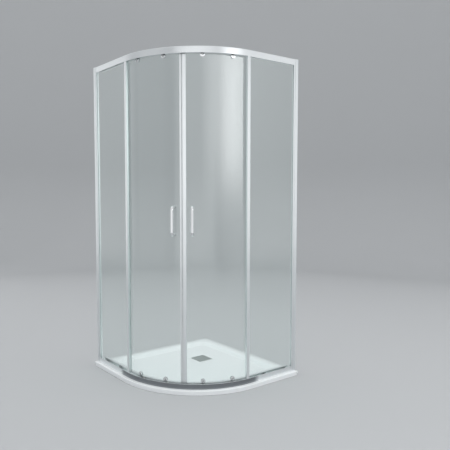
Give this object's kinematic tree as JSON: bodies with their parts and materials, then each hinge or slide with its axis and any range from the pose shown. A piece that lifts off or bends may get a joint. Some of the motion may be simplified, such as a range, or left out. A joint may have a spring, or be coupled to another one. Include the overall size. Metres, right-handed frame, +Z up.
{
  "type": "corner shower enclosure",
  "caption": "Quadrant corner shower enclosure: low white tray, aluminium rails and profiles, flat fixed glass on both sides and curved glass sliding doors with bow handles.",
  "frame": {"origin": "on the floor, below the centre of the square that the tray fills", "axes": "+X to the right along the back wall, +Y to the back wall, +Z up; the room corner is at -X, +Y and the doors face +X, -Y"},
  "size_m": [0.9, 0.9, 1.875],
  "materials": {
    "white_tray": "gloss white acrylic",
    "brushed_waste_steel": "brushed",
    "grey_rubber": "matt",
    "polished_aluminium": "bright polished",
    "satin_aluminium": "satin anodised",
    "stainless_steel": "plain",
    "grey_plastic": "matt",
    "clear_glass": "clear",
    "clear_seal": "translucent soft plastic",
    "chrome_plate": "mirror chrome",
    "white_nylon": "matt"
  },
  "bodies": {
    "enclosure": {"shower_tray": "white_tray", "waste_flange": "brushed_waste_steel", "waste_gasket": "grey_rubber", "hair_strainer": "brushed_waste_steel", "bottom_rail": "polished_aluminium", "top_rail": "polished_aluminium", "wall_profile_left": "satin_aluminium", "wall_profile_right": "satin_aluminium", "panel_profile_left": "satin_aluminium", "panel_profile_right": "satin_aluminium", "profile_screws": "stainless_steel", "profile_caps": "satin_aluminium", "rail_connectors": "grey_plastic", "connector_screws": "stainless_steel", "door_stops": "grey_rubber", "fixed_glass_left": "clear_glass", "fixed_glass_right": "clear_glass", "glazing_gasket_left": "grey_rubber", "glazing_gasket_right": "grey_rubber", "edge_profile_left": "satin_aluminium", "edge_profile_right": "satin_aluminium", "edge_seal_left": "clear_seal", "edge_seal_right": "clear_seal"},
    "door_left": {"door_glass_left": "clear_glass", "rear_profile_left": "clear_seal", "magnet_profile_left": "satin_aluminium", "magnet_strip_left": "clear_seal", "handle_left": "chrome_plate", "handle_washers_left": "grey_rubber", "handle_caps_left": "chrome_plate", "handle_screws_left": "stainless_steel", "top_hangers_left": "stainless_steel", "bottom_guides_left": "stainless_steel", "roller_caps_left": "chrome_plate", "roller_gaskets_left": "grey_rubber", "roller_screws_left": "stainless_steel"},
    "top_wheel_left_front": {"top_wheel_left_front": "white_nylon"},
    "top_wheel_left_rear": {"top_wheel_left_rear": "white_nylon"},
    "bottom_wheel_left_front": {"bottom_wheel_left_front": "white_nylon"},
    "bottom_wheel_left_rear": {"bottom_wheel_left_rear": "white_nylon"},
    "door_right": {"door_glass_right": "clear_glass", "rear_profile_right": "clear_seal", "magnet_profile_right": "satin_aluminium", "magnet_strip_right": "clear_seal", "handle_right": "chrome_plate", "handle_washers_right": "grey_rubber", "handle_caps_right": "chrome_plate", "handle_screws_right": "stainless_steel", "top_hangers_right": "stainless_steel", "bottom_guides_right": "stainless_steel", "roller_caps_right": "chrome_plate", "roller_gaskets_right": "grey_rubber", "roller_screws_right": "stainless_steel"},
    "top_wheel_right_front": {"top_wheel_right_front": "white_nylon"},
    "top_wheel_right_rear": {"top_wheel_right_rear": "white_nylon"},
    "bottom_wheel_right_front": {"bottom_wheel_right_front": "white_nylon"},
    "bottom_wheel_right_rear": {"bottom_wheel_right_rear": "white_nylon"},
    "waste_cover": {"waste_cover": "brushed_waste_steel"}
  },
  "joints": [
    {"name": "door_left_slide", "type": "hinge", "parent": "enclosure", "child": "door_left", "pos_m": [-0.11394, 0.20238, 0.95], "axis": [0, 0, -1], "range_deg": [0, 22.5]},
    {"name": "door_right_slide", "type": "hinge", "parent": "enclosure", "child": "door_right", "pos_m": [-0.20238, 0.11394, 0.95], "axis": [0, 0, 1], "range_deg": [0, 22.5]},
    {"name": "top_wheel_left_front_spin", "type": "hinge", "parent": "door_left", "child": "top_wheel_left_front", "pos_m": [0.17194, -0.31529, 1.8618], "axis": [0.5375, -0.8433, 0], "range_deg": [0, 1401.6]},
    {"name": "top_wheel_left_rear_spin", "type": "hinge", "parent": "door_left", "child": "top_wheel_left_rear", "pos_m": [0.02007, -0.37794, 1.8618], "axis": [0.2135, -0.9769, 0], "range_deg": [0, 1411.6]},
    {"name": "bottom_wheel_left_front_spin", "type": "hinge", "parent": "door_left", "child": "bottom_wheel_left_front", "pos_m": [0.17194, -0.31529, 0.0382], "axis": [-0.5375, 0.8433, 0], "range_deg": [0, 1401.6]},
    {"name": "bottom_wheel_left_rear_spin", "type": "hinge", "parent": "door_left", "child": "bottom_wheel_left_rear", "pos_m": [0.02007, -0.37794, 0.0382], "axis": [-0.2135, 0.9769, 0], "range_deg": [0, 1411.6]},
    {"name": "top_wheel_right_front_spin", "type": "hinge", "parent": "door_right", "child": "top_wheel_right_front", "pos_m": [0.31529, -0.17194, 1.8618], "axis": [-0.8433, 0.5375, 0], "range_deg": [0, 1401.6]},
    {"name": "top_wheel_right_rear_spin", "type": "hinge", "parent": "door_right", "child": "top_wheel_right_rear", "pos_m": [0.37794, -0.02007, 1.8618], "axis": [-0.9769, 0.2135, 0], "range_deg": [0, 1411.6]},
    {"name": "bottom_wheel_right_front_spin", "type": "hinge", "parent": "door_right", "child": "bottom_wheel_right_front", "pos_m": [0.31529, -0.17194, 0.0382], "axis": [0.8433, -0.5375, 0], "range_deg": [0, 1401.6]},
    {"name": "bottom_wheel_right_rear_spin", "type": "hinge", "parent": "door_right", "child": "bottom_wheel_right_rear", "pos_m": [0.37794, -0.02007, 0.0382], "axis": [0.9769, -0.2135, 0], "range_deg": [0, 1411.6]},
    {"name": "waste_cover_lift", "type": "slide", "parent": "enclosure", "child": "waste_cover", "axis": [0, 0, 1], "range_m": [0, 0.05]}
  ],
  "couplings": [
    {"joint": "top_wheel_left_front_spin", "follows": "door_left_slide", "ratio": 62.249},
    {"joint": "top_wheel_left_rear_spin", "follows": "door_left_slide", "ratio": 62.694},
    {"joint": "bottom_wheel_left_front_spin", "follows": "door_left_slide", "ratio": 62.249},
    {"joint": "bottom_wheel_left_rear_spin", "follows": "door_left_slide", "ratio": 62.694},
    {"joint": "top_wheel_right_front_spin", "follows": "door_right_slide", "ratio": 62.249},
    {"joint": "top_wheel_right_rear_spin", "follows": "door_right_slide", "ratio": 62.694},
    {"joint": "bottom_wheel_right_front_spin", "follows": "door_right_slide", "ratio": 62.249},
    {"joint": "bottom_wheel_right_rear_spin", "follows": "door_right_slide", "ratio": 62.694}
  ]
}
